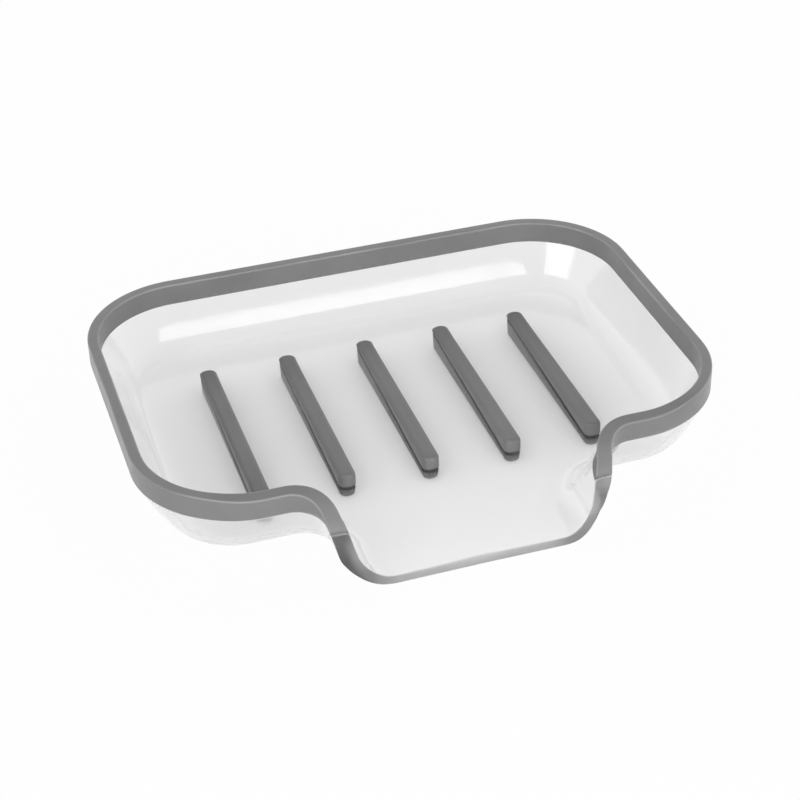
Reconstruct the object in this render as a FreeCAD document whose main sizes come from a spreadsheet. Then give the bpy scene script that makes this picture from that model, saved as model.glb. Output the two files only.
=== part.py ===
"""A draining sponge dish: a clear moulded tray with a pouring spout, a soft rim band and five soft ribs.

Millimetres. X runs along the long side, +Y to the back, -Y to the spout, +Z up. The origin is the middle of
the footprint, on the surface that the dish stands on.
"""
import FreeCAD, Part
import math
import os
import Sketcher
from FreeCAD import Vector

doc = FreeCAD.newDocument("sponge_dish")

# Driving dimensions
sheet = doc.addObject("Spreadsheet::Sheet", "sizes")
DIMENSIONS = [
    ("rim_width", 140.0, "outside width of the rim"),
    ("rim_depth", 97.5, "outside depth of the rim, back face to front face"),
    ("rim_height", 22.0, "top of the rim above the surface that the dish stands on"),
    ("corner_radius", 25.0, "outside corner of the rim in plan"),
    ("band_height", 5.2, "soft rim band, top to lower edge"),
    ("wall_thickness", 2.7, "wall and band, measured level"),
    ("band_round", 0.8, "rounding of the band's top edges"),
    ("tongue_thickness", 1.1, "rib on the wall's top edge that keys the band"),
    ("tongue_height", 2.6, "that rib, above the wall's top edge"),
    ("side_inset", 8.5, "how far the wall leans in, rim to underside, at the sides and front"),
    ("back_inset", 8.5, "the same at the back, where the floor is higher"),
    ("base_corner_radius", 14.0, "corner of the underside in plan"),
    ("floor_height", 5.25, "top of the floor above the surface, at the origin"),
    ("floor_angle", 2.8, "fall of the floor towards the spout, degrees"),
    ("floor_thickness", 1.7, "floor plate"),
    ("floor_round", 6.5, "inside rounding between floor and wall"),
    ("underside_round", 7.5, "outside rounding between underside and wall"),
    ("spout_reach", 12.9, "spout lip in front of the rim's front face"),
    ("spout_width_top", 66.0, "outside width of the spout at the band's lower edge"),
    ("spout_inset", 3.7, "how far each side of the spout leans in, rim to underside"),
    ("spout_turn_radius", 7.5, "outside radius where the front wall turns into the spout"),
    ("shoulder_least", 1.0, "least straight run of the front wall between its corner and that turn"),
    ("lip_margin", 0.5, "how far the lip's trimming shape stands off the spout's side walls"),
    ("lip_lean", 3.0, "how far the lip's trimming shape leans forwards, underside to band"),
    ("lip_corner_radius", 10.5, "front corners of the lip in plan, at the underside"),
    ("lip_corner_radius_top", 8.0, "the same at the band's lower edge"),
    ("sweep_lead", 5.0, "start of the top edge's sweep down to the lip, behind the rim's front face"),
    ("sweep_end_gap", 2.4, "end of that sweep behind the lip"),
    ("sweep_end_height", 0.2, "end of that sweep above the floor"),
    ("band_end_gap", 5.1, "end of the band behind the lip"),
    ("band_end_height", 0.9, "height of the band's blunt end"),
    ("rib_width", 4.0, "soft rib across its flat top"),
    ("rib_length", 55.0, "soft rib, end to end"),
    ("rib_pitch", 20.5, "rib to rib"),
    ("rib_height", 7.2, "rib from its foot on the surface to its top"),
    ("rib_back_gap", 21.3, "rib ends in front of the rim's back face"),
    ("rib_corner_radius", 1.7, "corners of the rib in plan"),
    ("rib_round", 0.5, "rounding of the rib's top edge"),
    ("slot_clearance", 0.05, "gap between a rib and its slot in the floor"),
    ("overrun", 4.0, "how far cutting shapes run past what they cut"),
]
for row, (alias, value, note) in enumerate(DIMENSIONS, start=1):
    sheet.set(f"A{row}", note)
    sheet.set(f"B{row}", str(value))
    sheet.setAlias(f"B{row}", alias)
doc.recompute()

RIB_COUNT = 5
# where, along the turn into the spout, the trimming of the lip starts
SPLIT_SHARE = 0.65


def size(alias):
    """A driving dimension by its name."""
    return float(sheet.get(alias))


# Levels and places that follow from the driving dimensions
depth = size("rim_depth") + size("spout_reach")
back_y = depth / 2
front_y = back_y - size("rim_depth")
lip_y = -depth / 2
channel_end_y = lip_y - size("overrun")
band_base = size("rim_height") - size("band_height")
fall = math.tan(math.radians(size("floor_angle")))


def floor_top(y):
    """Height of the sloping floor at y."""
    return size("floor_height") + fall * y


def blend(low, high, share):
    """The value at a share of the way from low to high."""
    return low + (high - low) * share


def spout_half(share):
    """Half the spout's outside width, 0 at the underside and 1 at the rim."""
    return size("spout_width_top") / 2 - size("spout_inset") * (1 - share)


def arc_between(centre_x, centre_y, radius, start_angle, end_angle):
    """Level circular arc from one angle to another, in degrees, by way of the middle angle."""
    points = []
    for angle in (start_angle, (start_angle + end_angle) / 2, end_angle):
        turn = math.radians(angle)
        points.append(Vector(centre_x + radius * math.cos(turn), centre_y + radius * math.sin(turn), 0))
    return Part.Arc(*points).toShape()


def mirrored(edges):
    """The same edges on the other side of the YZ plane, in reverse order."""
    return [edge.mirror(Vector(0, 0, 0), Vector(1, 0, 0)) for edge in reversed(edges)]


def wall_outline(share, inset):
    """Plan of the wall with its open spout channel, as a closed wire at height zero.

    share is 0 at the underside and 1 at the rim; inset moves the outline inwards. The front corners are no
    rounder than the front wall beside the spout has room for.
    """
    half_width = size("rim_width") / 2 - size("side_inset") * (1 - share) - inset
    back = back_y - size("back_inset") * (1 - share) - inset
    front = front_y + size("side_inset") * (1 - share) + inset
    corner = blend(size("base_corner_radius"), size("corner_radius"), share) - inset
    channel = spout_half(share) - inset
    turn = size("spout_turn_radius") + inset
    front_corner = min(corner, half_width - channel - turn - size("shoulder_least"))

    right = [
        arc_between(half_width - corner, back - corner, corner, 90, 0),
        Part.makeLine((half_width, back - corner, 0), (half_width, front + front_corner, 0)),
        arc_between(half_width - front_corner, front + front_corner, front_corner, 0, -90),
        Part.makeLine((half_width - front_corner, front, 0), (channel + turn, front, 0)),
        arc_between(channel + turn, front - turn, turn, 90, 180),
        Part.makeLine((channel, front - turn, 0), (channel, channel_end_y, 0)),
    ]
    back_line = Part.makeLine((corner - half_width, back, 0), (half_width - corner, back, 0))
    end_line = Part.makeLine((channel, channel_end_y, 0), (-channel, channel_end_y, 0))
    return Part.Wire([back_line] + right + [end_line] + mirrored(right))


def bowl(bottom_share, inset, bottom_height, rounding):
    """Solid bowl between a bottom parallel to the floor and the rim, with its bottom edge rounded."""
    bottom = wall_outline(bottom_share, inset)
    bottom.rotate(Vector(0, 0, 0), Vector(1, 0, 0), size("floor_angle"))
    bottom.translate(Vector(0, 0, bottom_height))
    top = wall_outline(1, inset)
    top.translate(Vector(0, 0, band_base))
    flared = Part.makeLoft([bottom, top], True, True)
    rim = Part.Face(top).extrude(Vector(0, 0, size("band_height") + size("overrun")))

    bottom_face = min(flared.Faces, key=lambda face: face.CenterOfMass.z)
    end_y = min(vertex.Point.y for vertex in bottom_face.Vertexes)
    rounded = []
    for edge in bottom_face.Edges:
        if edge.CenterOfMass.y > end_y + size("overrun") / 2:
            rounded.append(edge)
    return flared.makeFillet(rounding, rounded).fuse(rim).removeSplitter()


def level_line(start, end):
    """Straight line in the side view between two (y, z) places."""
    return Part.makeLine((0, start[0], start[1]), (0, end[0], end[1]))


def swept_line(start, corner, end):
    """Quarter of an ellipse in the side view, tangent at both ends to the legs that meet at corner."""
    curve = Part.BSplineCurve()
    poles = [Vector(0, y, z) for y, z in (start, corner, end)]
    curve.buildFromPolesMultsKnots(poles, [3, 3], [0, 1], False, 2, [1, math.sqrt(0.5), 1])
    return curve.toShape()


def slab_over(edges):
    """Block across the whole width above a side-view line, which runs from the back to the front."""
    reach = size("rim_width") / 2 + size("overrun")
    first = edges[0].Vertexes[0].Point
    last = edges[-1].Vertexes[-1].Point
    lid = size("rim_height") + 2 * size("overrun")
    closing = [
        level_line((last.y, last.z), (last.y, lid)),
        level_line((last.y, lid), (first.y, lid)),
        level_line((first.y, lid), (first.y, first.z)),
    ]
    face = Part.Face(Part.Wire(edges + closing))
    face.translate(Vector(-reach, 0, 0))
    return face.extrude(Vector(2 * reach, 0, 0))


# The wall's top edge in the side view: level, then a sweep down to the lip
sweep_start_y = front_y + size("sweep_lead")
sweep_end_y = lip_y + size("sweep_end_gap")
sweep_end_z = floor_top(lip_y) + size("sweep_end_height")
behind_y = back_y + size("overrun")
top_edge = [
    level_line((behind_y, size("rim_height")), (sweep_start_y, size("rim_height"))),
    swept_line((sweep_start_y, size("rim_height")), (sweep_end_y, size("rim_height")),
               (sweep_end_y, sweep_end_z)),
    level_line((sweep_end_y, sweep_end_z), (channel_end_y - size("overrun"), sweep_end_z)),
]


def top_at(y):
    """Height of the wall's top edge at y."""
    share = min(max((sweep_start_y - y) / (sweep_start_y - sweep_end_y), 0), 1)
    return sweep_end_z + (size("rim_height") - sweep_end_z) * math.sqrt(1 - share ** 2)


# The band's lower edge in the side view: level, then eased down to the band's blunt end
band_end_y = lip_y + size("band_end_gap")
band_edge = [
    level_line((behind_y, band_base), (sweep_start_y, band_base)),
    swept_line((sweep_start_y, band_base), ((sweep_start_y + band_end_y) / 2, band_base),
               (band_end_y, top_at(band_end_y) - size("band_end_height"))),
]


def lip_outline(share):
    """Plan of the tongue that the lip is trimmed to, as a closed wire at height zero.

    share is 0 on the surface that the dish stands on and 1 at the band's lower edge. The lip's upper edge is
    the foremost line of the dish.
    """
    half = spout_half(share) + size("lip_margin")
    radius = blend(size("lip_corner_radius"), size("lip_corner_radius_top"), share)
    front = lip_y - size("lip_lean") * (share - floor_top(lip_y) / band_base)
    right = [
        arc_between(half - radius, front + radius, radius, -90, 0),
        Part.makeLine((half, front + radius, 0), (half, back_y, 0)),
    ]
    front_line = Part.makeLine((radius - half, front, 0), (half - radius, front, 0))
    back_line = Part.makeLine((half, back_y, 0), (-half, back_y, 0))
    return Part.Wire([front_line] + right + [back_line] + mirrored(right))


def lip_cutter():
    """Block in front of the spout's turn, less the flared tongue that the lip keeps."""
    below = -size("overrun")
    low = lip_outline(below / band_base)
    low.translate(Vector(0, 0, below))
    high = lip_outline(1)
    high.translate(Vector(0, 0, band_base))
    tongue = Part.makeLoft([low, high], True, True)
    reach = size("rim_width") / 2 + size("overrun")
    far = channel_end_y - size("overrun")
    start_y = front_y - SPLIT_SHARE * size("spout_turn_radius")
    block = Part.makeBox(2 * reach, start_y - far, band_base - below, Vector(-reach, far, below))
    return block.cut(tongue)


def shell():
    """Tray and band in one: the outer bowl less the cavity, trimmed to its top edge and its lip."""
    drop = band_base - (size("floor_height") - size("floor_thickness"))
    outer = bowl(0, 0, size("floor_height") - size("floor_thickness"), size("underside_round"))
    cavity_share = size("floor_thickness") / drop
    cavity = bowl(cavity_share, size("wall_thickness"), size("floor_height"), size("floor_round"))
    return outer.cut(cavity).cut(slab_over(top_edge)).cut(lip_cutter())


def keying_tongue():
    """Thin upright rib along the middle of the wall's level top edge, which the band is moulded over."""
    margin = (size("wall_thickness") - size("tongue_thickness")) / 2
    lift = Vector(0, 0, size("tongue_height"))
    outside = Part.Face(wall_outline(1, margin)).extrude(lift)
    inside = Part.Face(wall_outline(1, margin + size("tongue_thickness"))).extrude(lift)
    reach = size("rim_width") / 2 + size("overrun")
    level_part = Part.makeBox(2 * reach, behind_y - sweep_start_y, size("tongue_height"),
                              Vector(-reach, sweep_start_y, 0))
    tongue = outside.cut(inside).common(level_part)
    tongue.translate(Vector(0, 0, band_base))
    return tongue


def top_long_edges(band):
    """The long edges of the band's top, down to where the spout's sides start to lean.

    They are the edges that a top face shares with a side face.
    """
    slack = size("band_round") / 100
    top_faces = []
    for face in band.Faces:
        if all(abs(vertex.Z - top_at(vertex.Y)) < slack for vertex in face.Vertexes):
            top_faces.append(face)
    edges = []
    for face in top_faces:
        for edge in face.Edges:
            shared = sum(1 for other in top_faces for twin in other.Edges if twin.isSame(edge))
            lowest = min(vertex.Z for vertex in edge.Vertexes)
            if shared == 1 and lowest > band_base - slack:
                edges.append(edge)
    return edges


def rib_place(index):
    """Middle of a rib's foot."""
    x = (index - (RIB_COUNT - 1) / 2) * size("rib_pitch")
    y = back_y - size("rib_back_gap") - size("rib_length") / 2
    return Vector(x, y, 0)


def rib_slot(index):
    """Upright block of a rib's plan plus the slot clearance, to cut through the floor."""
    gap = size("slot_clearance")
    width = size("rib_width") + 2 * gap
    length = size("rib_length") + 2 * gap
    block = Part.makeBox(width, length, size("rim_height"), Vector(-width / 2, -length / 2, 0))
    upright = [edge for edge in block.Edges if edge.Vertexes[0].Z != edge.Vertexes[1].Z]
    slot = block.makeFillet(size("rib_corner_radius") + gap, upright)
    slot.translate(rib_place(index))
    return slot


def add_solid(label, shape):
    """Document object for a sub-part whose shape is worked out above."""
    feature = doc.addObject("Part::Feature", label)
    feature.Label = label
    feature.Shape = shape
    feature.Placement = FreeCAD.Placement()
    return feature


def plan_sketch(body):
    """Sketch of a rib's plan, a rounded rectangle about the body's origin, bound to the sheet."""
    sketch = body.newObject("Sketcher::SketchObject", body.Name + "_plan")
    plane = next(item for item in body.Origin.OriginFeatures if item.Role == "XY_Plane")
    sketch.AttachmentSupport = [(plane, "")]
    sketch.MapMode = "FlatFace"
    half_width = size("rib_width") / 2
    half_length = size("rib_length") / 2
    radius = size("rib_corner_radius")
    in_x = half_width - radius
    in_y = half_length - radius
    sides = [
        ((half_width, -in_y), (half_width, in_y)),
        ((in_x, half_length), (-in_x, half_length)),
        ((-half_width, in_y), (-half_width, -in_y)),
        ((-in_x, -half_length), (in_x, -half_length)),
    ]
    for start, end in sides:
        sketch.addGeometry(Part.LineSegment(Vector(*start, 0), Vector(*end, 0)), False)
    corners = [(in_x, in_y), (-in_x, in_y), (-in_x, -in_y), (in_x, -in_y)]
    for quarter, (x, y) in enumerate(corners):
        circle = Part.Circle(Vector(x, y, 0), Vector(0, 0, 1), radius)
        start_angle = quarter * math.pi / 2
        sketch.addGeometry(Part.ArcOfCircle(circle, start_angle, start_angle + math.pi / 2), False)
    for quarter in range(4):
        arc = 4 + quarter
        sketch.addConstraint(Sketcher.Constraint("Tangent", quarter, 2, arc, 1))
        sketch.addConstraint(Sketcher.Constraint("Tangent", arc, 2, (quarter + 1) % 4, 1))
    for arc in (5, 6, 7):
        sketch.addConstraint(Sketcher.Constraint("Equal", 4, arc))
    sketch.addConstraint(Sketcher.Constraint("Vertical", 0))
    sketch.addConstraint(Sketcher.Constraint("Horizontal", 1))
    sketch.addConstraint(Sketcher.Constraint("Symmetric", 0, 1, 2, 1, -1, 1))
    bound = [
        (Sketcher.Constraint("DistanceX", 2, 1, 0, 2, size("rib_width")), "width", "sizes.rib_width"),
        (Sketcher.Constraint("DistanceY", 3, 1, 1, 1, size("rib_length")), "length", "sizes.rib_length"),
        (Sketcher.Constraint("Radius", 4, radius), "corner", "sizes.rib_corner_radius"),
    ]
    for constraint, name, expression in bound:
        number = sketch.addConstraint(constraint)
        sketch.renameConstraint(number, name)
        sketch.setExpression("Constraints." + name, expression)
    return sketch


def add_rib(index):
    """One soft rib: its plan padded up from the foot, with the top edge rounded."""
    label = f"rib_{index + 1}"
    body = doc.addObject("PartDesign::Body", label)
    body.Label = label
    sketch = plan_sketch(body)
    pad = body.newObject("PartDesign::Pad", label + "_pad")
    pad.Profile = sketch
    pad.setExpression("Length", "sizes.rib_height")
    doc.recompute()
    top_names = []
    for number, edge in enumerate(pad.Shape.Edges, start=1):
        if all(vertex.Z > size("rib_height") / 2 for vertex in edge.Vertexes):
            top_names.append(f"Edge{number}")
    rounding = body.newObject("PartDesign::Fillet", label + "_round")
    rounding.Base = (pad, top_names)
    rounding.setExpression("Radius", "sizes.rib_round")
    body.Placement = FreeCAD.Placement(rib_place(index), FreeCAD.Rotation())
    return body


whole = shell()
band_zone = slab_over(band_edge)
tongue = keying_tongue()

tray_shape = whole.cut(band_zone).fuse(tongue)
for index in range(RIB_COUNT):
    tray_shape = tray_shape.cut(rib_slot(index))
band_shape = whole.common(band_zone)
band_shape = band_shape.makeFillet(size("band_round"), top_long_edges(band_shape)).cut(tongue)

sub_parts = [
    add_solid("tray", tray_shape.removeSplitter()),
    add_solid("rim_band", band_shape.removeSplitter()),
]
for index in range(RIB_COUNT):
    sub_parts.append(add_rib(index))
doc.recompute()

for item in doc.Objects:
    if "Invalid" in item.State or "Error" in item.State:
        raise RuntimeError(f"{item.Label} failed to compute: {item.State}")
for part in sub_parts:
    if part.Shape.isNull() or not part.Shape.isValid() or len(part.Shape.Solids) != 1:
        raise RuntimeError(f"{part.Label} is not one valid solid")

os.makedirs("parts", exist_ok=True)
for part in sub_parts:
    part.Shape.exportStep(f"parts/{part.Label}.step")
    print(part.Label, "volume", round(part.Shape.Volume, 1))
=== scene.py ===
"""Looks of a clear draining dish for a sponge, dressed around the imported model.

Units are metres. X runs along the dish, Y from the spout to the back, Z up from the counter.
"""
import math

import bmesh
import bpy
import numpy as np
from mathutils import Matrix, Vector


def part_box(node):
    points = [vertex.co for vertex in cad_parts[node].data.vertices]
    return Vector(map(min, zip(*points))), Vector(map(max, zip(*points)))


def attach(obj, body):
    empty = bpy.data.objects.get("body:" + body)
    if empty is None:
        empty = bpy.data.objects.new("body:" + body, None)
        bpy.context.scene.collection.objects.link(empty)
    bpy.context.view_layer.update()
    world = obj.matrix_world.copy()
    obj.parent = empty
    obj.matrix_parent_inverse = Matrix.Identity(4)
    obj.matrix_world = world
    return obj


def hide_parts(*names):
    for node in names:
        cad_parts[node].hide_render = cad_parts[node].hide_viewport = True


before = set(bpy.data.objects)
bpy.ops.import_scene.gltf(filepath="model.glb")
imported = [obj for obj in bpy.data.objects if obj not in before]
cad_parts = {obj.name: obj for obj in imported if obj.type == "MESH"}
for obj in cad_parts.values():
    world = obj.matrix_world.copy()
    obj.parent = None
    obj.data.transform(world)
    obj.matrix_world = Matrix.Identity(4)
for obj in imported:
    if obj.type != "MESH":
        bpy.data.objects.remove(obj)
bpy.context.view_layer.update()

MM = 0.001

# Main sizes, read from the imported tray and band.
tray_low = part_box("tray")[0]
band_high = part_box("rim_band")[1]
HALF_WIDTH = band_high.x
BACK_Y = band_high.y
LIP_Y = tray_low.y
RIM_TOP = band_high.z

# Wall in plan.
RIM_DEPTH = 97.5 * MM
FRONT_Y = BACK_Y - RIM_DEPTH
WALL = 2.7 * MM
CORNER = 25.0 * MM
BASE_CORNER = 14.0 * MM
SIDE_INSET = 8.5 * MM
SPOUT_HALF = 33.0 * MM
SPOUT_INSET = 3.7 * MM
OUTER_SWELL = 0.7 * MM
INNER_SWELL = -0.6 * MM
OUTER_TURN = 6.8 * MM
INNER_TURN = 10.8 * MM

# Floor.
FLOOR_HEIGHT = 5.25 * MM
FLOOR_THICKNESS = 1.7 * MM
FLOOR_FALL = math.tan(math.radians(2.8))
INNER_ROUND = 6.5 * MM
OUTER_ROUND = 8.0 * MM
SPOUT_INNER_ROUND = 8.0 * MM
SPOUT_OUTER_ROUND = 9.5 * MM
FLAT_MARGIN = 0.5 * MM
WALL_BOW = 0.25
FLOOR_CENTRE_Y = 20.0 * MM
UNDERSIDE = FLOOR_HEIGHT - FLOOR_THICKNESS

# Rim, sweep down to the spout, lip and band.
BAND_HEIGHT = 5.55 * MM
BAND_BASE = RIM_TOP - BAND_HEIGHT
BAND_OUTER_ROUND = 0.4 * MM
BAND_INNER_ROUND = 0.5 * MM
BAND_ROUND_SHARE = 0.7
SWEEP_START_Y = FRONT_Y + 5.0 * MM
SWEEP_END_Y = LIP_Y + 2.4 * MM
SWEEP_END_Z = FLOOR_HEIGHT + FLOOR_FALL * LIP_Y + 0.2 * MM
SWEEP_FOOT_Z = 7.0 * MM
SWEEP_FOOT_REACH = 3.0 * MM
SWEEP_FOOT_MOST = 1.5
BAND_END_Y = LIP_Y + 5.1 * MM
BAND_END_HEIGHT = 0.9 * MM
BAND_GAP = 0.4 * MM
LIP_MARGIN = 1.2 * MM
LIP_LEAN = 3.0 * MM
LIP_CORNER = 11.0 * MM
LIP_CORNER_TOP = 8.0 * MM
LIP_FLAT = 3.5 * MM
EDGE_EASE = 3.0 * MM
EDGE_OUTER_ROUND = 0.4 * MM
EDGE_INNER_ROUND = 1.1 * MM
EDGE_OUTER_SHARE = 0.3
EDGE_INNER_SHARE = 0.6
JOINT_ROUND = 0.05 * MM
EDGE_PALE_HALF = 18.0 * MM
EDGE_PALE_EASE = 7.0 * MM

# Ribs.
RIB_COUNT = 5
RIB_CORNER = 1.7 * MM
RIB_CORNER_LOSS = 0.6
RIB_CORNER_LEAST = 0.3 * MM
RIB_FLAT_LEAST = 0.05 * MM
RIB_ROUND = 0.55 * MM
RIB_TOP_ROUND = 0.9 * MM
RIB_DRAFT = 0.14 * MM
RIB_GROOVE = 0.25 * MM
RIB_GROOVE_DROP = 0.6 * MM
RIB_GROOVE_STEP = 0.1 * MM
RIB_TOP_STEP = 0.15 * MM
RIB_WIDER = 0.3 * MM
RIB_LONGER = 0.6 * MM

# Steps of the grids.
BACK_STEPS = 14
CORNER_STEPS = 24
SIDE_STEPS = 14
SHOULDER_STEPS = 4
TURN_STEPS = 24
JOINT_STEPS = 4
LIP_STEPS = 72
WALL_ROWS = 44
FLOOR_ROWS = 5
EDGE_ROUND_STEPS = 4
BAND_ROWS = 8
BAND_ROUND_STEPS = 8
RIB_SIDE_STEPS = 12
RIB_END_STEPS = 2
RIB_CORNER_STEPS = 10
RIB_ROUND_ROWS = 7

# Searches for where a surface lies: rounds, limits and points.
WALL_HALVINGS = 40
SPOUT_HALVINGS = 48
SPOUT_SHARE_LEAST = -1.0
SPOUT_SHARE_MOST = 16.0
EDGE_ROUNDS = 12
EDGE_POINTS = 160
PACE_SHARE = 0.01

# Angles past which an edge is shaded sharp.
TRAY_SHARP = math.radians(50.0)
BAND_SHARP = math.radians(40.0)
RIB_SHARP = math.radians(50.0)


def blend(low, high, share):
    """Value a share of the way from low to high."""
    return low + (high - low) * share


def soft_max(first, second, ease):
    """The larger of two heights, with a parabola between them where they come within ease."""
    near = np.maximum(ease - np.abs(first - second), 0.0)
    return np.maximum(first, second) + near ** 2 / (4.0 * ease)


def floor_round(over, past, slope, radius):
    """Height above the floor of a wall that meets it in a round of the given radius.

    `over` is how far the wall stands above the floor, `past` the distance beyond the corner
    where they would meet, and slope the wall's steepness. A circle touches the floor at a
    tangent length of radius * tan(angle / 2), and the wall at the same length up its slope.
    """
    angle = np.arctan(slope)
    tangent = radius * np.tan(angle / 2.0)
    arc = radius - np.sqrt(np.maximum(radius ** 2 - (past - tangent) ** 2, 0.0))
    rise = np.where(past < -tangent * np.cos(angle), over, arc)
    return np.where(past > tangent, 0.0, rise)


def straight(start, end, count):
    """Points evenly along a straight run, with its end left to the next run."""
    start = np.asarray(start)
    shares = np.arange(count)[:, None] / count
    return start + (np.asarray(end) - start) * shares


def bend(centre, radius, start, end, count):
    """Points evenly round an arc between two angles in degrees, its end left to the next run."""
    angles = np.radians(blend(start, end, np.arange(count) / count))
    return np.asarray(centre) + radius * np.column_stack([np.cos(angles), np.sin(angles)])


def half_outline(share, inset, shoulder_end):
    """Right half of the wall in plan, from the middle of the back to the spout's turn.

    A straight back, a round corner, a straight side, a round front corner and a short
    shoulder that ends at a given x. Everything moves in by the lean that is left below this
    share of the height, and by the inset.
    """
    lean = 1.0 - share
    side = HALF_WIDTH - SIDE_INSET * lean - inset
    back = BACK_Y - SIDE_INSET * lean - inset
    front = FRONT_Y + SIDE_INSET * lean + inset
    corner = blend(BASE_CORNER, CORNER, share) - inset
    runs = [
        straight((0.0, back), (side - corner, back), BACK_STEPS),
        bend((side - corner, back - corner), corner, 90.0, 0.0, CORNER_STEPS),
        straight((side, back - corner), (side, front + corner), SIDE_STEPS),
        bend((side - corner, front + corner), corner, 0.0, -90.0, CORNER_STEPS),
        straight((side - corner, front), (shoulder_end, front), SHOULDER_STEPS),
        [(shoulder_end, front)],
    ]
    return np.concatenate(runs)


def floor_at(y, height):
    """Height at y of the floor, or of its underside, which falls towards the lip."""
    return height + FLOOR_FALL * y


def top_at(y):
    """Height of the rim: level, then a quarter ellipse down to the lip."""
    share = np.clip((SWEEP_START_Y - y) / (SWEEP_START_Y - SWEEP_END_Y), 0.0, 1.0)
    return blend(SWEEP_END_Z, RIM_TOP, np.sqrt(1.0 - share ** 2))


BAND_END_TOP = float(top_at(BAND_END_Y))
BAND_END_FOOT = BAND_END_TOP - BAND_END_HEIGHT


def band_foot(y):
    """Height of the band's lower edge: level, then a parabola down to its end."""
    share = np.clip((SWEEP_START_Y - y) / (SWEEP_START_Y - BAND_END_Y), 0.0, 1.0)
    return blend(BAND_BASE, BAND_END_FOOT, share ** 2)


def bare_edge_at(x, z):
    """How far forward the bare edge of the spout stands at one place of the wall or floor.

    The further back of two limits, eased together: the sweep, as the rim's ellipse turned
    round to give y from z, and the lip's outline, a straight front with round corners.
    """
    rise = np.clip((z - SWEEP_END_Z) / (RIM_TOP - SWEEP_END_Z), 0.0, 1.0)
    sweep = blend(SWEEP_START_Y, SWEEP_END_Y, np.sqrt(1.0 - rise ** 2))
    below = np.clip((SWEEP_FOOT_Z - z) / (SWEEP_FOOT_Z - SWEEP_END_Z), 0.0, SWEEP_FOOT_MOST)
    sweep = sweep - SWEEP_FOOT_REACH * below ** 2
    share = z / BAND_BASE
    half = SPOUT_HALF - SPOUT_INSET * (1.0 - share) + LIP_MARGIN
    radius = blend(LIP_CORNER, LIP_CORNER_TOP, share)
    front = LIP_Y - LIP_LEAN * np.maximum(share - floor_at(LIP_Y, FLOOR_HEIGHT) / BAND_BASE, 0.0)
    into = np.clip(x - (half - radius), 0.0, radius)
    lip = front + radius - np.sqrt(radius ** 2 - into ** 2)
    return soft_max(sweep, lip, EDGE_EASE)


def down_the_wall(top, low, low_z, curve):
    """Share of the way down each wall line where it crosses the height curve z = curve(y).

    Found by halving: above the crossing the line is higher than the curve.
    """
    upper = np.zeros(len(top))
    lower = np.ones(len(top))
    for _ in range(WALL_HALVINGS):
        share = (upper + lower) / 2.0
        over = blend(BAND_BASE, low_z, share) > curve(blend(top[:, 1], low[:, 1], share))
        upper = np.where(over, share, upper)
        lower = np.where(over, lower, share)
    return (upper + lower) / 2.0


def along(points):
    """Distance along a polyline at each of its points."""
    steps = np.linalg.norm(np.diff(points, axis=0), axis=1)
    return np.concatenate([[0.0], np.cumsum(steps)])


def spread(points, shares):
    """Points at the given shares of a polyline's length."""
    length = along(points)
    columns = [np.interp(shares * length[-1], length, column) for column in points.T]
    return np.column_stack(columns)


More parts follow.
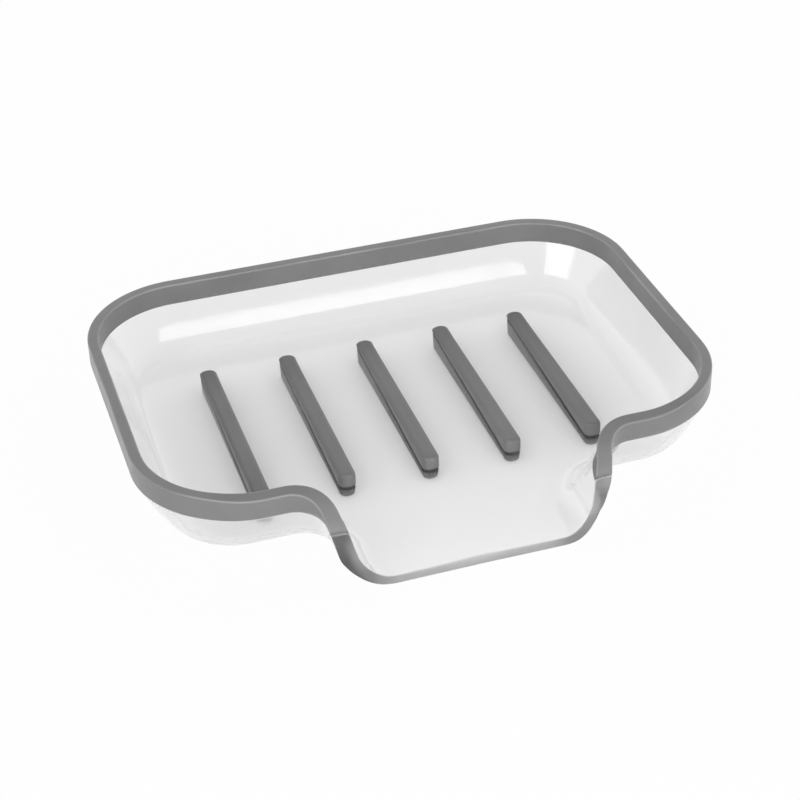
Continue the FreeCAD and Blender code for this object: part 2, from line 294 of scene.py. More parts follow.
class WallFace:
    """One face of the clear wall, inner or outer.

    Its wall lines lean from the band's base to the floor, round the dish and round the
    spout's turn. Past the turn the spout's side is a plane. Shares run down: 0 at the band's
    base, 1 at the foot of the wall.
    """

    def __init__(self, inset, swell, turn, low_share, low_height, wall_round, spout_round):
        self.turn = turn
        self.low_height = low_height
        self.wall_round = wall_round
        self.spout_round = spout_round
        lean = 1.0 - low_share
        half = SPOUT_HALF + swell - inset
        self.spout = np.array([half, half - SPOUT_INSET * lean])
        self.front = np.array([FRONT_Y + inset, FRONT_Y + inset + SIDE_INSET * lean])
        self.fall = BAND_BASE - floor_at(self.front[1], low_height)
        self.spout_slope = self.fall / (self.spout[0] - self.spout[1])

        wall_top = half_outline(1.0, inset, half + turn)
        wall_low = half_outline(low_share, inset, half + turn)
        self.wall_count = len(wall_top)
        angles = np.radians(90.0 + 90.0 * np.arange(1, TURN_STEPS + 1) / TURN_STEPS)
        self.normals = np.column_stack([np.cos(angles), np.sin(angles)])
        self.top = np.concatenate([wall_top, self.turn_centre(0.0) + self.turn * self.normals])
        self.low = np.concatenate([wall_low, self.turn_centre(1.0) + self.turn * self.normals])
        turn_z = np.full(TURN_STEPS, BAND_BASE - self.fall)
        self.low_z = np.concatenate([floor_at(wall_low[:, 1], low_height), turn_z])

        run = np.gradient(wall_top, axis=0)
        run = run / np.linalg.norm(run, axis=1)[:, None]
        out = wall_low - wall_top
        self.reach = out[:, 0] * run[:, 1] - out[:, 1] * run[:, 0]
        self.reach[-SHOULDER_STEPS - 1:] = self.front[1] - self.front[0]

        # The bow fades out round the front corner, so that the wall meets the turn unbowed.
        fading = np.arange(self.wall_count) - (self.wall_count - 1 - CORNER_STEPS - SHOULDER_STEPS)
        self.bows = WALL_BOW * (1.0 - np.clip(fading / CORNER_STEPS, 0.0, 1.0))

    def turn_centre(self, share):
        """Centre of the spout's turn in plan, which moves with the lean."""
        x = blend(self.spout[0], self.spout[1], share) + self.turn
        y = blend(self.front[0], self.front[1], share) - self.turn
        return np.stack(np.broadcast_arrays(x, y), axis=-1)

    def off_turn(self, plan, share):
        """Distance in plan from the wall beside the spout, a block with one round corner.

        With u and w the distances from the corner's centre to the left and to the back, it is
        the length of their positive parts, or the larger of them inside, less the radius.
        """
        centre = self.turn_centre(share)
        u = centre[..., 0] - plan[..., 0]
        w = plan[..., 1] - centre[..., 1]
        outside = np.hypot(np.maximum(u, 0.0), np.maximum(w, 0.0))
        return outside + np.minimum(np.maximum(u, w), 0.0) - self.turn, u, w

    def spout_wall(self, x):
        """Height of the spout's side wall, a plane, above x."""
        return BAND_BASE - self.spout_slope * (self.spout[0] - x)

    def spout_side(self, z):
        """The same plane turned round: x at a height."""
        return self.spout[0] - (BAND_BASE - z) / self.spout_slope

    def foot_radius(self, y):
        """Radius between wall and floor at y, which changes evenly from the turn's end to the lip."""
        turn_end = self.front[0] - self.turn
        forward = np.clip((turn_end - y) / (turn_end - LIP_Y), 0.0, 1.0)
        return blend(self.wall_round, self.spout_round, forward)

    def bare_edge(self):
        """The edge of this face from the band's end to the middle of the lip.

        For each x from the wall to the middle, the height comes from wall and floor and the
        place along y from the sweep and the lip, worked out in turn until they agree. The
        edge never turns back.
        """
        wall_x = np.linspace(self.spout_side(BAND_END_TOP), self.spout[1], EDGE_POINTS)
        x = np.concatenate([wall_x, np.linspace(self.spout[1], 0.0, EDGE_POINTS)[1:]])
        y = np.full(len(x), LIP_Y)
        for _ in range(EDGE_ROUNDS):
            floor = floor_at(y, self.low_height)
            over = self.spout_wall(x) - floor
            past = -over / self.spout_slope
            z = floor + floor_round(over, past, self.spout_slope, self.foot_radius(y))
            y = np.minimum.accumulate(bare_edge_at(x, z))
        return np.column_stack([x, y, z])

    def wall_rows(self, shares):
        """Rows of points on the wall lines, from the band's lower edge to the flat of the floor.

        The wall is bowed: its slope grows evenly from (1 - bow) of the plane's at the foot to
        (1 + bow) of it at the edge.
        """
        count = self.wall_count
        top = self.top[:count]
        low = self.low[:count]
        low_z = self.low_z[:count]
        slopes = (BAND_BASE - low_z) / self.reach
        first = down_the_wall(top, low, low_z, band_foot)
        tangent = self.wall_round * np.tan(np.arctan(slopes) / 2.0)
        last = 1.0 + (tangent + FLAT_MARGIN) / self.reach
        edge_y = blend(top[:, 1], low[:, 1], first)
        edge = blend(BAND_BASE, low_z, first) - floor_at(edge_y, self.low_height)

        down = blend(first, last, shares[:, :count])
        plan = blend(top, low, down[..., None])
        floor = floor_at(plan[..., 1], self.low_height)
        over = blend(BAND_BASE, low_z, down) - floor
        over = over * (1.0 - self.bows * (1.0 - np.clip(over / edge, 0.0, 1.0)))
        slopes = slopes * (1.0 - self.bows)
        z = floor + floor_round(over, -over / slopes, slopes, self.wall_round)
        return np.concatenate([plan, z[..., None]], axis=-1)

    def spout_lines(self):
        """Start and end in plan of the lines round the turn, past the joint and along the lip."""
        top = self.top[self.wall_count:]
        low = self.low[self.wall_count:]
        first = down_the_wall(top, low, self.low_z[self.wall_count:], band_foot)
        start = blend(top, low, first[:, None])
        slope = self.fall / (self.front[1] - self.front[0])
        tangent = self.wall_round * np.tan(np.arctan(slope) / 2.0)
        end = start + self.normals * (self.front[1] - self.front[0] + tangent + FLAT_MARGIN)

        joint_y = np.linspace(start[-1, 1], BAND_END_Y + BAND_GAP, JOINT_STEPS + 1)[1:]
        joint = np.column_stack([self.spout_side(band_foot(joint_y)), joint_y])
        bare = spread(self.bare_edge(), np.linspace(0.0, 1.0, LIP_STEPS))
        spout = np.concatenate([joint, bare[:, :2]])
        gone = along(np.concatenate([start[-1:], spout]))[1:]
        forward = (start[-1, 1] - spout[:, 1]) / (start[-1, 1] - LIP_Y)
        forward = np.maximum.accumulate(forward)
        spout_end = np.column_stack([
            end[-1, 0] * (1.0 - gone / gone[-1]),
            blend(end[-1, 1], LIP_Y + LIP_FLAT, forward),
        ])
        return np.concatenate([start, spout]), np.concatenate([end, spout_end])

    def spout_rows(self, shares):
        """Rows of points round the turn and along the spout.

        Each point finds by halving the share down at which the wall passes through it. Its
        height is then the floor, rounded up into the wall.
        """
        start, end = self.spout_lines()
        plan = blend(start, end, shares[:, self.wall_count:, None])
        upper = np.full(plan.shape[:2], SPOUT_SHARE_LEAST)
        lower = np.full(plan.shape[:2], SPOUT_SHARE_MOST)
        for _ in range(SPOUT_HALVINGS):
            share = (upper + lower) / 2.0
            clear = self.off_turn(plan, share)[0] > 0.0
            upper = np.where(clear, share, upper)
            lower = np.where(clear, lower, share)
        floor = floor_at(plan[..., 1], self.low_height)
        over = BAND_BASE - self.fall * share - floor
        corner, u, w = self.off_turn(plan, np.minimum(share, (BAND_BASE - floor) / self.fall))
        facing = np.stack([np.maximum(u, 0.0), np.maximum(w, 0.0)])
        facing = facing / np.hypot(facing[0], facing[1])
        spout_lean = self.spout[0] - self.spout[1]
        front_lean = self.front[1] - self.front[0]
        slope = self.fall / (facing[0] * spout_lean + facing[1] * front_lean)
        past = np.where(over > 0.0, -over / slope, corner)
        z = floor + floor_round(over, past, slope, self.foot_radius(plan[..., 1]))
        return np.concatenate([plan, z[..., None]], axis=-1)

    def rows(self, shares):
        """Rows of points on the whole half face, at shares of each line's length."""
        return np.concatenate([self.wall_rows(shares), self.spout_rows(shares)], axis=1)


def rounded(before, corner, after, steps):
    """Points round a corner: a quadratic curve from before to after that bends at the corner."""
    share = (np.arange(1, steps) / steps)[:, None, None]
    return (1 - share) ** 2 * before + 2 * share * (1 - share) * corner + share ** 2 * after


def both_halves(rows):
    """Right half carried on round the left, mirrored in x, as one closed ring of stations."""
    mirrored = rows[:, -2:0:-1] * np.array([-1.0, 1.0, 1.0])
    return np.concatenate([rows, mirrored], axis=1)


def skin(name, rows, poles, material, sharp, marks=()):
    """A closed mesh from rows of points, each row a ring, capped at both ends by its poles.

    `marks` are named values of the points, from 0 to 1, for the material.
    """
    count, ring = rows.shape[:2]
    points = np.concatenate([rows.reshape(-1, 3), poles])
    row = np.arange(count - 1)[:, None] * ring
    here = np.arange(ring)[None, :]
    following = (here + 1) % ring
    quads = np.stack([row + here, row + following, row + ring + following, row + ring + here], -1)
    last = (count - 1) * ring
    first_cap = np.stack([following[0], here[0], np.full(ring, count * ring)], -1)
    last_cap = np.stack([last + here[0], last + following[0], np.full(ring, count * ring + 1)], -1)
    faces = quads.reshape(-1, 4).tolist() + first_cap.tolist() + last_cap.tolist()

    mesh = bpy.data.meshes.new(name)
    mesh.from_pydata(points.tolist(), [], faces)
    for mark, values in marks:
        attribute = mesh.attributes.new(mark, "FLOAT", "POINT")
        values = np.concatenate([values.ravel(), [0.0, 0.0]])
        attribute.data.foreach_set("value", values.astype(np.float32))
    work = bmesh.new()
    work.from_mesh(mesh)
    bmesh.ops.recalc_face_normals(work, faces=work.faces)
    work.to_mesh(mesh)
    work.free()
    mesh.polygons.foreach_set("use_smooth", np.ones(len(mesh.polygons), dtype=bool))
    mesh.set_sharp_from_angle(angle=sharp)
    mesh.materials.append(material)
    piece = bpy.data.objects.new(name, mesh)
    bpy.context.scene.collection.objects.link(piece)
    return piece


inner_share = FLOOR_THICKNESS / (BAND_BASE - UNDERSIDE)
outer_face = WallFace(0.0, OUTER_SWELL, OUTER_TURN, 0.0, UNDERSIDE, OUTER_ROUND, SPOUT_OUTER_ROUND)
inner_face = WallFace(WALL, INNER_SWELL, INNER_TURN, inner_share, FLOOR_HEIGHT, INNER_ROUND,
                      SPOUT_INNER_ROUND)


def face_rows(face, rounding):
    """Rows of one face from just inside its edge to the flat, then in to the floor's middle."""
    none = np.zeros((1, len(rounding)))
    edge = face.rows(none)[0]
    pace = np.linalg.norm(face.rows(none + PACE_SHARE)[0] - edge, axis=1) / PACE_SHARE
    first = rounding / pace
    rows = face.rows(blend(first, 1.0, np.linspace(0.0, 1.0, WALL_ROWS)[:, None]))
    middle = np.array([0.0, FLOOR_CENTRE_Y, floor_at(FLOOR_CENTRE_Y, face.low_height)])
    inward = (np.arange(1, FLOOR_ROWS) / FLOOR_ROWS)[:, None, None]
    return edge, np.concatenate([rows, blend(rows[-1:], middle, inward)])


def clear_tray(material):
    """The clear dish as one closed skin: underside, outer wall, edge, inner wall and floor.

    Each station carries one profile across the dish, and the stations run round its outline.
    The bare edge of the spout is marked satin. It also gets painted shade, standing in for the dark
    look of its refraction, apart from the middle of the lip and a pale line where the band ends.
    """
    wall_stations = len(outer_face.top) + JOINT_STEPS
    bare_share = (np.arange(wall_stations + LIP_STEPS) >= wall_stations).astype(float)
    outer_round = blend(JOINT_ROUND, EDGE_OUTER_ROUND, bare_share)
    inner_round = blend(JOINT_ROUND, EDGE_INNER_ROUND, bare_share)
    outer_edge, outer_rows = face_rows(outer_face, outer_round)
    inner_edge, inner_rows = face_rows(inner_face, inner_round)
    across = inner_edge - outer_edge
    width = np.linalg.norm(across, axis=1)
    outer_part = np.minimum(outer_round / width, EDGE_OUTER_SHARE)
    inner_part = np.minimum(inner_round / width, EDGE_INNER_SHARE)
    outer_top = outer_edge + across * outer_part[:, None]
    inner_top = inner_edge - across * inner_part[:, None]
    rim = np.concatenate([
        rounded(outer_rows[0], outer_edge, outer_top, EDGE_ROUND_STEPS),
        [outer_top, (outer_top + inner_top) / 2.0, inner_top],
        rounded(inner_top, inner_edge, inner_rows[0], EDGE_ROUND_STEPS),
    ])
    rows = both_halves(np.concatenate([outer_rows[::-1], rim, inner_rows]))
    satin = np.zeros(rows.shape[:2])
    painted_edge_shade = np.zeros(rows.shape[:2])
    bare = slice(wall_stations, wall_stations + 2 * LIP_STEPS - 1)
    cut = slice(len(outer_rows), len(outer_rows) + len(rim))
    # Painted shade on the sides of the bare edge, standing in for the dark look of its refraction.
    aside = (np.abs(rows[cut, bare, 0]) - EDGE_PALE_HALF) / EDGE_PALE_EASE
    satin[cut, bare] = 1.0
    painted_edge_shade[cut, bare] = np.clip(aside, 0.0, 1.0)
    painted_edge_shade[cut, [bare.start, bare.stop - 1]] = 0.0
    heights = (UNDERSIDE, FLOOR_HEIGHT)
    middle = [[0.0, FLOOR_CENTRE_Y, floor_at(FLOOR_CENTRE_Y, height)] for height in heights]
    marks = (("edge_satin", satin), ("edge_painted_shade", painted_edge_shade))
    return skin("clear_tray", rows, middle, material, TRAY_SHARP, marks)


def band_side(face, shares):
    """Points on one side of the band, at shares of its height from the lower edge to the rim.

    On the wall lines the points follow the wall, upright above the band's base and leaning
    below it. Past the last wall line they follow the spout's plane to the band's end.
    """
    def height(curve):
        share = down_the_wall(face.top, face.low, face.low_z, curve)
        level = curve(face.top[:, 1])
        return np.where(level >= BAND_BASE, level, blend(BAND_BASE, face.low_z, share))

    count = len(face.top)
    foot_z = height(band_foot)
    rim_z = height(top_at)
    z = blend(foot_z, rim_z, shares[:, :count])
    lean = np.maximum((BAND_BASE - z) / (BAND_BASE - face.low_z), 0.0)
    plan = blend(face.top, face.low, lean[..., None])
    wall = np.concatenate([plan, z[..., None]], axis=-1)

    def last_y(level):
        lean = max((BAND_BASE - level) / (BAND_BASE - face.low_z[-1]), 0.0)
        return blend(face.top[-1, 1], face.low[-1, 1], lean)

    reach = np.arange(1, JOINT_STEPS + 1) / JOINT_STEPS
    foot_y = blend(last_y(foot_z[-1]), BAND_END_Y + BAND_GAP, reach)
    rim_y = blend(last_y(rim_z[-1]), BAND_END_Y + BAND_GAP, reach)
    y = blend(foot_y, rim_y, shares[:, count:])
    z = blend(band_foot(foot_y), top_at(rim_y), shares[:, count:])
    joint = np.stack([face.spout_side(z), y, z], axis=-1)
    return np.concatenate([wall, joint], axis=1)


def band_half(face, radius):
    """Rows up one side of the band to its rounded top edge, and the corner of that edge."""
    stations = len(face.top) + JOINT_STEPS
    foot, corner = band_side(face, np.array([[0.0], [1.0]]) * np.ones(stations))
    tall = np.linalg.norm(corner - foot, axis=1)
    kept = 1.0 - np.minimum(radius / tall, BAND_ROUND_SHARE)
    return band_side(face, np.linspace(0.0, 1.0, BAND_ROWS)[:, None] * kept), corner


def soft_band(material):
    """The rubber band: a wall section with a rounded top, carried round the rim.

    The painted highlight on its edges, lighter rubber that stands in for lamp light on the rounds,
    is half a sine wave across each round.
    """
    outer, outer_corner = band_half(outer_face, BAND_OUTER_ROUND)
    inner, inner_corner = band_half(inner_face, BAND_INNER_ROUND)
    across = inner_corner - outer_corner
    across = across / np.linalg.norm(across, axis=1)[:, None]
    outer_top = outer_corner + across * BAND_OUTER_ROUND
    inner_top = inner_corner - across * BAND_INNER_ROUND
    section = np.concatenate([
        outer,
        rounded(outer[-1], outer_corner, outer_top, BAND_ROUND_STEPS),
        [outer_top, inner_top],
        rounded(inner_top, inner_corner, inner[-1], BAND_ROUND_STEPS),
        inner[::-1],
    ])
    right = section.transpose(1, 0, 2)
    left = right[:0:-1] * np.array([-1.0, 1.0, 1.0])
    rows = np.concatenate([left, right])
    ends = [rows[0].mean(axis=0), rows[-1].mean(axis=0)]
    # Painted highlight: lighter rubber along the top rounds, standing in for lamp light on them.
    hump = np.sin(np.pi * np.arange(1, BAND_ROUND_STEPS) / BAND_ROUND_STEPS)
    plain = np.zeros(BAND_ROWS)
    wear_and_highlight = np.concatenate([plain, hump, [0.0, 0.0], hump, plain])
    marks = (("edge_painted_highlight", np.broadcast_to(wear_and_highlight, rows.shape[:2])),)
    return skin("soft_band", rows, ends, material, BAND_SHARP, marks)


def rib_outline(half_width, half_length, corner):
    """A bar in plan as one closed ring of points: four straight runs and four quarter circles."""
    x = half_width - corner
    y = half_length - corner
    runs = [
        straight((half_width, -y), (half_width, y), RIB_SIDE_STEPS),
        bend((x, y), corner, 0.0, 90.0, RIB_CORNER_STEPS),
        straight((x, half_length), (-x, half_length), RIB_END_STEPS),
        bend((-x, y), corner, 90.0, 180.0, RIB_CORNER_STEPS),
        straight((-half_width, y), (-half_width, -y), RIB_SIDE_STEPS),
        bend((-x, -y), corner, 180.0, 270.0, RIB_CORNER_STEPS),
        straight((-x, -half_length), (x, -half_length), RIB_END_STEPS),
        bend((x, -y), corner, 270.0, 360.0, RIB_CORNER_STEPS),
    ]
    return np.concatenate(runs)


def soft_rib(number, material):
    """A rubber rib: one bar through the floor, with rounded top and foot and a groove at the floor.

    Each row is the bar's outline at a level, drawn in by a quarter circle at top and foot, by
    the groove, and by a draft that grows with the distance from the floor. The groove's rows
    follow the floor's slope, and no row lies below the one before it.
    """
    low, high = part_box(f"rib_{number}")
    low.x = low.x - RIB_WIDER
    low.y = low.y - RIB_LONGER
    centre_x = (low.x + high.x) / 2.0
    centre_y = (low.y + high.y) / 2.0
    half_width = (high.x - low.x) / 2.0
    half_length = (high.y - low.y) / 2.0
    quarter = np.radians(np.linspace(0.0, 90.0, RIB_ROUND_ROWS))
    arc = np.column_stack([1.0 - np.sin(quarter), 1.0 - np.cos(quarter)])
    foot = [(low.z + RIB_ROUND * up, RIB_ROUND * drawn, 0.0) for up, drawn in arc[::-1]]
    groove_low = UNDERSIDE - RIB_GROOVE_DROP
    groove_high = FLOOR_HEIGHT - RIB_GROOVE_DROP
    groove = [
        (groove_low, 0.0, 1.0),
        (groove_low + RIB_GROOVE_STEP, RIB_GROOVE, 1.0),
        (groove_high - RIB_GROOVE_STEP, RIB_GROOVE, 1.0),
        (groove_high, 0.0, 1.0),
    ]
    crest = [(high.z - RIB_TOP_ROUND * down, RIB_TOP_ROUND * drawn, 0.0) for down, drawn in arc]
    flat = [(high.z, RIB_TOP_ROUND + RIB_TOP_STEP * step, 0.0) for step in (1.0, 2.0)]
    rows = []
    reached = low.z
    for level, inset, sloped in foot + groove + crest + flat:
        inset = inset + RIB_DRAFT * abs(level - FLOOR_HEIGHT) / (high.z - FLOOR_HEIGHT)
        corner = max(RIB_CORNER - RIB_CORNER_LOSS * inset, RIB_CORNER_LEAST)
        corner = min(corner, half_width - inset - RIB_FLAT_LEAST)
        ring = rib_outline(half_width - inset, half_length - inset, corner)
        ring = ring + np.array([centre_x, centre_y])
        z = np.minimum(level + sloped * FLOOR_FALL * ring[:, 1], high.z)
        reached = np.maximum(z, reached)
        rows.append(np.column_stack([ring, reached]))
    poles = [[centre_x, centre_y, low.z], [centre_x, centre_y, high.z]]
    return skin(f"soft_rib_{number}", np.array(rows), poles, material, RIB_SHARP)


# Finishes. Shades and roughness run from 0 to 1, and noise scales are per metre.
CLEAR_SHADE = 0.98
CLEAR_IOR = 1.5
CLEAR_ROUGH = (0.07, 0.13)
CLEAR_WEAR_SCALE = 90.0
RIPPLE_SCALE = 45.0
RIPPLE_STRENGTH = 0.08
RIPPLE_DEPTH = 0.05 * MM
EDGE_SATIN = 0.75
# Painted shade on the sides of the spout's bare edge.
EDGE_PAINTED_SHADE = 0.36
BAND_SHADE = 0.168
RIB_SHADE = 0.15
RUBBER_IOR = 1.48
RUBBER_ROUGH = (0.3, 0.4)
RUBBER_WEAR_SCALE = 400.0
CLOUD_SCALE = 70.0
CLOUD_SHARE = 0.07
GRAIN_SCALE = 5200.0
GRAIN_STRENGTH = 0.2
GRAIN_DEPTH = 0.03 * MM
# Painted highlight on the band's rounds: its shade, and the scale and range of its patches.
HIGHLIGHT_SHADE = 0.32
HIGHLIGHT_PATCH_SCALE = 55.0
HIGHLIGHT_PATCH_RANGE = (0.1, 0.9)
NOISE_RANGE = (0.3, 0.7)

# Painted shade on the ribs in and under the clear floor: shades, and stops on the scale its function
# sets.
FOOT_PAINTED_SHADE = 0.85
BOND_PAINTED_SHADE = 0.3
BOND_FOOT_STOP = 0.22
BOND_PAINTED_SHADE_STOPS = (0.25, 0.555)
BOND_TOP_STOP = 0.585
BOND_DULL_STOP = 0.6


def grey(shade):
    """A grey as a colour."""
    return (shade, shade, shade, 1.0)


def node(tree, kind, **settings):
    """A shader node with its settings."""
    made = tree.nodes.new(kind)
    for name, value in settings.items():
        setattr(made, name, value)
    return made


def surface_noise(tree, scale, detail):
    """Noise in the object's own coordinates."""
    coordinates = node(tree, "ShaderNodeTexCoord")
    noise = node(tree, "ShaderNodeTexNoise")
    noise.inputs["Scale"].default_value = scale
    noise.inputs["Detail"].default_value = detail
    tree.links.new(coordinates.outputs["Object"], noise.inputs["Vector"])
    return noise


def ranged(tree, source, limits):
    """A noise value mapped to a range."""
    span = node(tree, "ShaderNodeMapRange")
    span.inputs["From Min"].default_value = NOISE_RANGE[0]
    span.inputs["From Max"].default_value = NOISE_RANGE[1]
    span.inputs["To Min"].default_value = limits[0]
    span.inputs["To Max"].default_value = limits[1]
    tree.links.new(source, span.inputs["Value"])
    return span.outputs["Result"]


def clear_finish():
    """Clear moulded plastic: a faint flow ripple, a satin bare edge with painted shade. Lamps shine
    through it.
    """
    material = bpy.data.materials.new("clear_moulded_plastic")
    material.use_nodes = True
    tree = material.node_tree
    tree.nodes.clear()
    output = node(tree, "ShaderNodeOutputMaterial")
    plastic = node(tree, "ShaderNodeBsdfPrincipled")
    plastic.inputs["IOR"].default_value = CLEAR_IOR
    plastic.inputs["Transmission Weight"].default_value = 1.0
    wear_and_highlight = surface_noise(tree, CLEAR_WEAR_SCALE, 3.0)
    edge = node(tree, "ShaderNodeAttribute", attribute_name="edge_satin")
    painted_edge_shade = node(tree, "ShaderNodeAttribute", attribute_name="edge_painted_shade")
    # Painted shade: the base colour darkens where the bare edge is marked.
    shade = node(tree, "ShaderNodeMix", data_type="RGBA")
    shade.inputs["A"].default_value = grey(CLEAR_SHADE)
    shade.inputs["B"].default_value = grey(EDGE_PAINTED_SHADE)
    tree.links.new(painted_edge_shade.outputs["Fac"], shade.inputs["Factor"])
    tree.links.new(shade.outputs["Result"], plastic.inputs["Base Color"])
    satin = node(tree, "ShaderNodeMath", operation="MULTIPLY_ADD")
    satin.inputs[1].default_value = EDGE_SATIN
    tree.links.new(edge.outputs["Fac"], satin.inputs[0])
    tree.links.new(ranged(tree, wear_and_highlight.outputs["Fac"], CLEAR_ROUGH), satin.inputs[2])
    tree.links.new(satin.outputs["Value"], plastic.inputs["Roughness"])
    ripple = surface_noise(tree, RIPPLE_SCALE, 1.0)
    bump = node(tree, "ShaderNodeBump")
    bump.inputs["Strength"].default_value = RIPPLE_STRENGTH
    bump.inputs["Distance"].default_value = RIPPLE_DEPTH
    tree.links.new(ripple.outputs["Fac"], bump.inputs["Height"])
    tree.links.new(bump.outputs["Normal"], plastic.inputs["Normal"])
    path = node(tree, "ShaderNodeLightPath")
    shadow = node(tree, "ShaderNodeBsdfTransparent")
    shadow.inputs["Color"].default_value = grey(1.0)
    mix = node(tree, "ShaderNodeMixShader")
    tree.links.new(path.outputs["Is Shadow Ray"], mix.inputs["Fac"])
    tree.links.new(plastic.outputs["BSDF"], mix.inputs[1])
    tree.links.new(shadow.outputs["BSDF"], mix.inputs[2])
    tree.links.new(mix.outputs["Shader"], output.inputs["Surface"])
    return material


def rubber_finish(name, shade, shade_in_floor):
    """Soft grey rubber: a matt grain, a little cloudiness, and painted shade or else painted edge
    highlights.
    """
    material = bpy.data.materials.new(name)
    material.use_nodes = True
    tree = material.node_tree
    rubber = tree.nodes["Principled BSDF"]
    rubber.inputs["IOR"].default_value = RUBBER_IOR
    cloud = surface_noise(tree, CLOUD_SCALE, 4.0)
    tint = node(tree, "ShaderNodeMix", data_type="RGBA")
    tint.inputs["A"].default_value = grey(shade * (1.0 - CLOUD_SHARE))
    tint.inputs["B"].default_value = grey(shade * (1.0 + CLOUD_SHARE))
    tree.links.new(ranged(tree, cloud.outputs["Fac"], (0.0, 1.0)), tint.inputs["Factor"])
    colour = tint.outputs["Result"]
    wear_and_highlight = surface_noise(tree, RUBBER_WEAR_SCALE, 3.0)
    roughness = ranged(tree, wear_and_highlight.outputs["Fac"], RUBBER_ROUGH)
    # Painted shade for the ribs in and under the floor, or painted highlights for the band's rounds.
    if shade_in_floor:
        colour, roughness = painted_bond_shade(tree, colour, roughness)
    else:
        colour = paint_edge_highlight(tree, colour)
    tree.links.new(colour, rubber.inputs["Base Color"])
    tree.links.new(roughness, rubber.inputs["Roughness"])
    grain = surface_noise(tree, GRAIN_SCALE, 2.0)
    bump = node(tree, "ShaderNodeBump")
    bump.inputs["Strength"].default_value = GRAIN_STRENGTH
    bump.inputs["Distance"].default_value = GRAIN_DEPTH
    tree.links.new(grain.outputs["Fac"], bump.inputs["Height"])
    tree.links.new(bump.outputs["Normal"], rubber.inputs["Normal"])
    return material


def paint_edge_highlight(tree, colour):
    """Paint highlights in patches along the band's rounded edges, by the share kept on its points."""
    wear_and_highlight = node(tree, "ShaderNodeAttribute", attribute_name="edge_painted_highlight")
    mix = node(tree, "ShaderNodeMix", data_type="RGBA")
    mix.inputs["B"].default_value = grey(HIGHLIGHT_SHADE)
    patches = surface_noise(tree, HIGHLIGHT_PATCH_SCALE, 2.0)
    broken = node(tree, "ShaderNodeMath", operation="MULTIPLY")
    tree.links.new(wear_and_highlight.outputs["Fac"], broken.inputs[0])
    tree.links.new(ranged(tree, patches.outputs["Fac"], HIGHLIGHT_PATCH_RANGE), broken.inputs[1])
    tree.links.new(broken.outputs["Value"], mix.inputs["Factor"])
    tree.links.new(colour, mix.inputs["A"])
    return mix.outputs["Result"]


def painted_bond_shade(tree, colour, roughness):
    """Paint shade on the rubber where it passes inside the clear floor, and dull it there and below.

    The level of a point is z - fall * y, set on a scale from two floor thicknesses below the
    floor's top to one above. The painted dark zone has soft ends, and the foot below it gets a
    little painted shade, darker than the bar above.
    """
    coordinates = node(tree, "ShaderNodeTexCoord")
    split = node(tree, "ShaderNodeSeparateXYZ")
    tree.links.new(coordinates.outputs["Object"], split.inputs["Vector"])
    slope = node(tree, "ShaderNodeMath", operation="MULTIPLY_ADD")
    slope.inputs[1].default_value = -FLOOR_FALL
    tree.links.new(split.outputs["Y"], slope.inputs[0])
    tree.links.new(split.outputs["Z"], slope.inputs[2])
    ramp = node(tree, "ShaderNodeMapRange")
    ramp.inputs["From Min"].default_value = FLOOR_HEIGHT - 2.0 * FLOOR_THICKNESS
    ramp.inputs["From Max"].default_value = FLOOR_HEIGHT + FLOOR_THICKNESS
    tree.links.new(slope.outputs["Value"], ramp.inputs["Value"])
    zone = node(tree, "ShaderNodeValToRGB")
    stops = zone.color_ramp.elements
    # Painted shade: the foot a little darker, then a dark zone through the floor's thickness.
    stops[0].position = BOND_FOOT_STOP
    stops[0].color = grey(FOOT_PAINTED_SHADE)
    stops[1].position = BOND_TOP_STOP
    stops[1].color = grey(1.0)
    for position in BOND_PAINTED_SHADE_STOPS:
        dark = stops.new(position)
        dark.color = grey(BOND_PAINTED_SHADE)
    tree.links.new(ramp.outputs["Result"], zone.inputs["Fac"])
    mix = node(tree, "ShaderNodeMix", data_type="RGBA", blend_type="MULTIPLY")
    mix.inputs["Factor"].default_value = 1.0
    tree.links.new(colour, mix.inputs["A"])
    tree.links.new(zone.outputs["Color"], mix.inputs["B"])
    dull = node(tree, "ShaderNodeMath", operation="LESS_THAN")
    dull.inputs[1].default_value = BOND_DULL_STOP
    tree.links.new(ramp.outputs["Result"], dull.inputs[0])
    rough = node(tree, "ShaderNodeMath", operation="MAXIMUM")
    tree.links.new(roughness, rough.inputs[0])
    tree.links.new(dull.outputs["Value"], rough.inputs[1])
    return mix.outputs["Result"], rough.outputs["Value"]


def dress():
    """Make the pieces, each in place of its CAD node."""
    clear = clear_finish()
    band_rubber = rubber_finish("soft_rim_rubber", BAND_SHADE, False)
    rib_rubber = rubber_finish("soft_rib_rubber", RIB_SHADE, True)
    pieces = [(clear_tray(clear), "tray", "clear_plastic")]
    pieces.append((soft_band(band_rubber), "rim_band", "soft_rim"))
    for number in range(1, RIB_COUNT + 1):
        pieces.append((soft_rib(number, rib_rubber), f"rib_{number}", "soft_rib"))
    for piece, replaced, slot in pieces:
        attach(piece, "root")
        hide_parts(replaced)


# Camera, fitted to the photograph's rim, ribs and spout.
CAMERA_AZIMUTH = math.radians(-17.222)
CAMERA_ELEVATION = math.radians(33.946)
CAMERA_ROLL = math.radians(-1.515)
CAMERA_PLACE = Vector((-116.65 * MM, BACK_Y - 428.35 * MM, 273.0 * MM))
CAMERA_LENS = 87.68
CAMERA_SENSOR = 36.0
CAMERA_NEAREST = 10.0 * MM


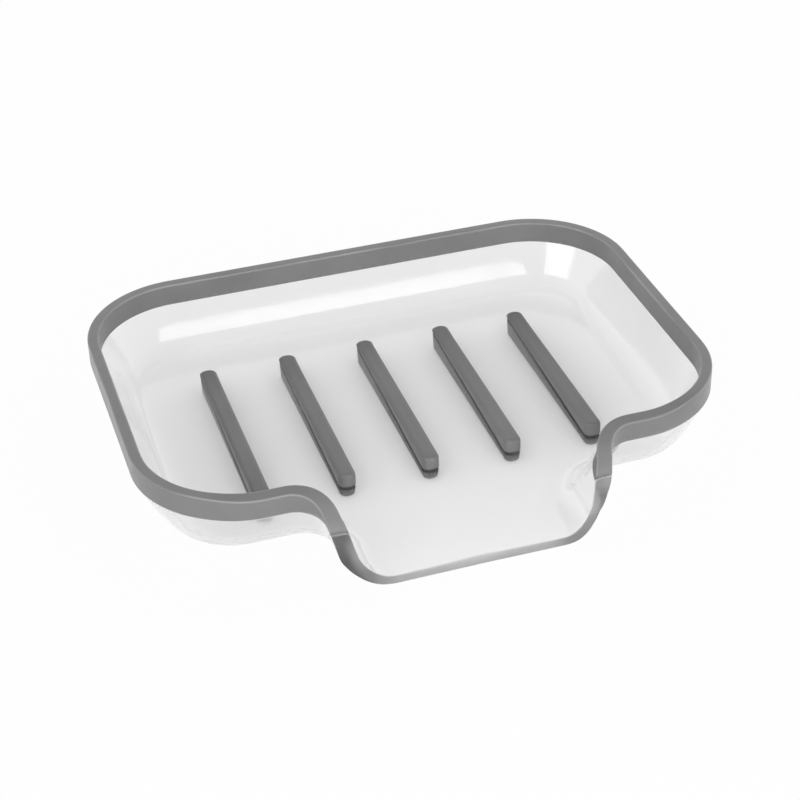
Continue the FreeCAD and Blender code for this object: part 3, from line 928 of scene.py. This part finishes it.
def place_camera():
    """The photograph's camera: looking down from the front left, with a slight roll."""
    level = math.cos(CAMERA_ELEVATION)
    back = Vector((math.sin(CAMERA_AZIMUTH) * level, -math.cos(CAMERA_AZIMUTH) * level,
                   math.sin(CAMERA_ELEVATION)))
    right = Vector((math.cos(CAMERA_AZIMUTH), math.sin(CAMERA_AZIMUTH), 0.0))
    up = back.cross(right)
    turn = math.cos(CAMERA_ROLL)
    tilt = math.sin(CAMERA_ROLL)
    across = turn * right + tilt * up
    upward = turn * up - tilt * right
    data = bpy.data.cameras.new("photo_camera")
    data.lens = CAMERA_LENS
    data.sensor_width = CAMERA_SENSOR
    data.clip_start = CAMERA_NEAREST
    camera = bpy.data.objects.new("photo_camera", data)
    axes = Matrix((across, upward, back)).transposed().to_4x4()
    camera.matrix_world = Matrix.Translation(CAMERA_PLACE) @ axes
    bpy.context.scene.collection.objects.link(camera)
    bpy.context.scene.camera = camera


# Counter: half its side, its shade, and how white it is when seen or when seen through plastic.
COUNTER_HALF = 4.0
COUNTER_SHADE = 0.9
FLOOR_SEEN_WHITE = 0.94
FLOOR_THROUGH_WHITE = 0.17


def lay_counter():
    """A wide pale floor at z = 0: nearly white where it is seen, and shaded below the clear dish."""
    far = COUNTER_HALF
    mesh = bpy.data.meshes.new("counter")
    corners = [(-far, -far, 0.0), (far, -far, 0.0), (far, far, 0.0), (-far, far, 0.0)]
    mesh.from_pydata(corners, [], [(0, 1, 2, 3)])
    material = bpy.data.materials.new("counter_white")
    material.use_nodes = True
    tree = material.node_tree
    tree.nodes.clear()
    output = node(tree, "ShaderNodeOutputMaterial")
    diffuse = node(tree, "ShaderNodeBsdfDiffuse")
    diffuse.inputs["Color"].default_value = grey(COUNTER_SHADE)
    white = node(tree, "ShaderNodeEmission")
    path = node(tree, "ShaderNodeLightPath")
    seen = node(tree, "ShaderNodeMath", operation="MAXIMUM")
    tree.links.new(path.outputs["Is Camera Ray"], seen.inputs[0])
    tree.links.new(path.outputs["Is Glossy Ray"], seen.inputs[1])
    direct = node(tree, "ShaderNodeMath", operation="MULTIPLY")
    direct.inputs[1].default_value = FLOOR_SEEN_WHITE
    tree.links.new(seen.outputs["Value"], direct.inputs[0])
    share = node(tree, "ShaderNodeMix", data_type="FLOAT")
    share.inputs["B"].default_value = FLOOR_THROUGH_WHITE
    tree.links.new(path.outputs["Is Transmission Ray"], share.inputs["Factor"])
    tree.links.new(direct.outputs["Value"], share.inputs["A"])
    mix = node(tree, "ShaderNodeMixShader")
    tree.links.new(share.outputs["Result"], mix.inputs["Fac"])
    tree.links.new(diffuse.outputs["BSDF"], mix.inputs[1])
    tree.links.new(white.outputs["Emission"], mix.inputs[2])
    tree.links.new(mix.outputs["Shader"], output.inputs["Surface"])
    mesh.materials.append(material)
    counter = bpy.data.objects.new("counter", mesh)
    bpy.context.scene.collection.objects.link(counter)


# Light tent: radiance at the sides and above.
TENT_SIDE = 1.75
TENT_TOP = 0.4


def light_tent():
    """A pale world, brighter at the sides than above, that looks white by itself or through plastic."""
    world = bpy.data.worlds.new("light_tent")
    bpy.context.scene.world = world
    world.use_nodes = True
    tree = world.node_tree
    tree.nodes.clear()
    output = node(tree, "ShaderNodeOutputWorld")
    direction = node(tree, "ShaderNodeTexCoord")
    split = node(tree, "ShaderNodeSeparateXYZ")
    tree.links.new(direction.outputs["Generated"], split.inputs["Vector"])
    fade = node(tree, "ShaderNodeMapRange")
    fade.inputs["To Min"].default_value = TENT_SIDE
    fade.inputs["To Max"].default_value = TENT_TOP
    tree.links.new(split.outputs["Z"], fade.inputs["Value"])
    tent = node(tree, "ShaderNodeBackground")
    tree.links.new(fade.outputs["Result"], tent.inputs["Color"])
    white = node(tree, "ShaderNodeBackground")
    path = node(tree, "ShaderNodeLightPath")
    seen = node(tree, "ShaderNodeMath", operation="MAXIMUM")
    tree.links.new(path.outputs["Is Camera Ray"], seen.inputs[0])
    tree.links.new(path.outputs["Is Transmission Ray"], seen.inputs[1])
    mix = node(tree, "ShaderNodeMixShader")
    tree.links.new(seen.outputs["Value"], mix.inputs["Fac"])
    tree.links.new(tent.outputs["Background"], mix.inputs[1])
    tree.links.new(white.outputs["Background"], mix.inputs[2])
    tree.links.new(mix.outputs["Shader"], output.inputs["Surface"])


def soft_lamp(name, place, target, across, width, height, radiance, gloss_only=False):
    """A rectangular lamp that faces a point, its width along `across`.

    Its power is pi times its area times its radiance. One that is for gloss only is hidden from
    diffuse rays, so it shows in polished and clear faces.
    """
    data = bpy.data.lights.new(name, "AREA")
    data.shape = "RECTANGLE"
    data.size = width
    data.size_y = height
    data.energy = math.pi * width * height * radiance
    lamp = bpy.data.objects.new(name, data)
    back = (Vector(place) - Vector(target)).normalized()
    side = Vector(across)
    side = (side - side.dot(back) * back).normalized()
    axes = Matrix((side, back.cross(side), back)).transposed().to_4x4()
    lamp.matrix_world = Matrix.Translation(Vector(place)) @ axes
    lamp.visible_diffuse = not gloss_only
    bpy.context.scene.collection.objects.link(lamp)


def light():
    """The tent, a long lamp and a left lamp that show in the back wall, and a low front lamp."""
    light_tent()
    dish = (0.0, 0.0, 0.01)
    level = (1.0, 0.0, 0.0)
    soft_lamp("long_lamp", (0.177, -0.455, 0.598), dish, level,
              width=0.229, height=0.135, radiance=2.6, gloss_only=True)
    soft_lamp("left_lamp", (-0.72, -0.39, 0.70), dish, (-0.335, 0.507, -0.12),
              width=0.7, height=0.5, radiance=2.4, gloss_only=True)
    soft_lamp("front_lamp", (-0.1, -1.05, 0.35), dish, level,
              width=1.2, height=0.5, radiance=2.8)


dress()
place_camera()
lay_counter()
light()

bpy.context.scene.view_settings.view_transform = "Standard"
bpy.context.scene.cycles.max_bounces = 72
bpy.context.scene.cycles.transmission_bounces = 64
bpy.context.scene.cycles.glossy_bounces = 64
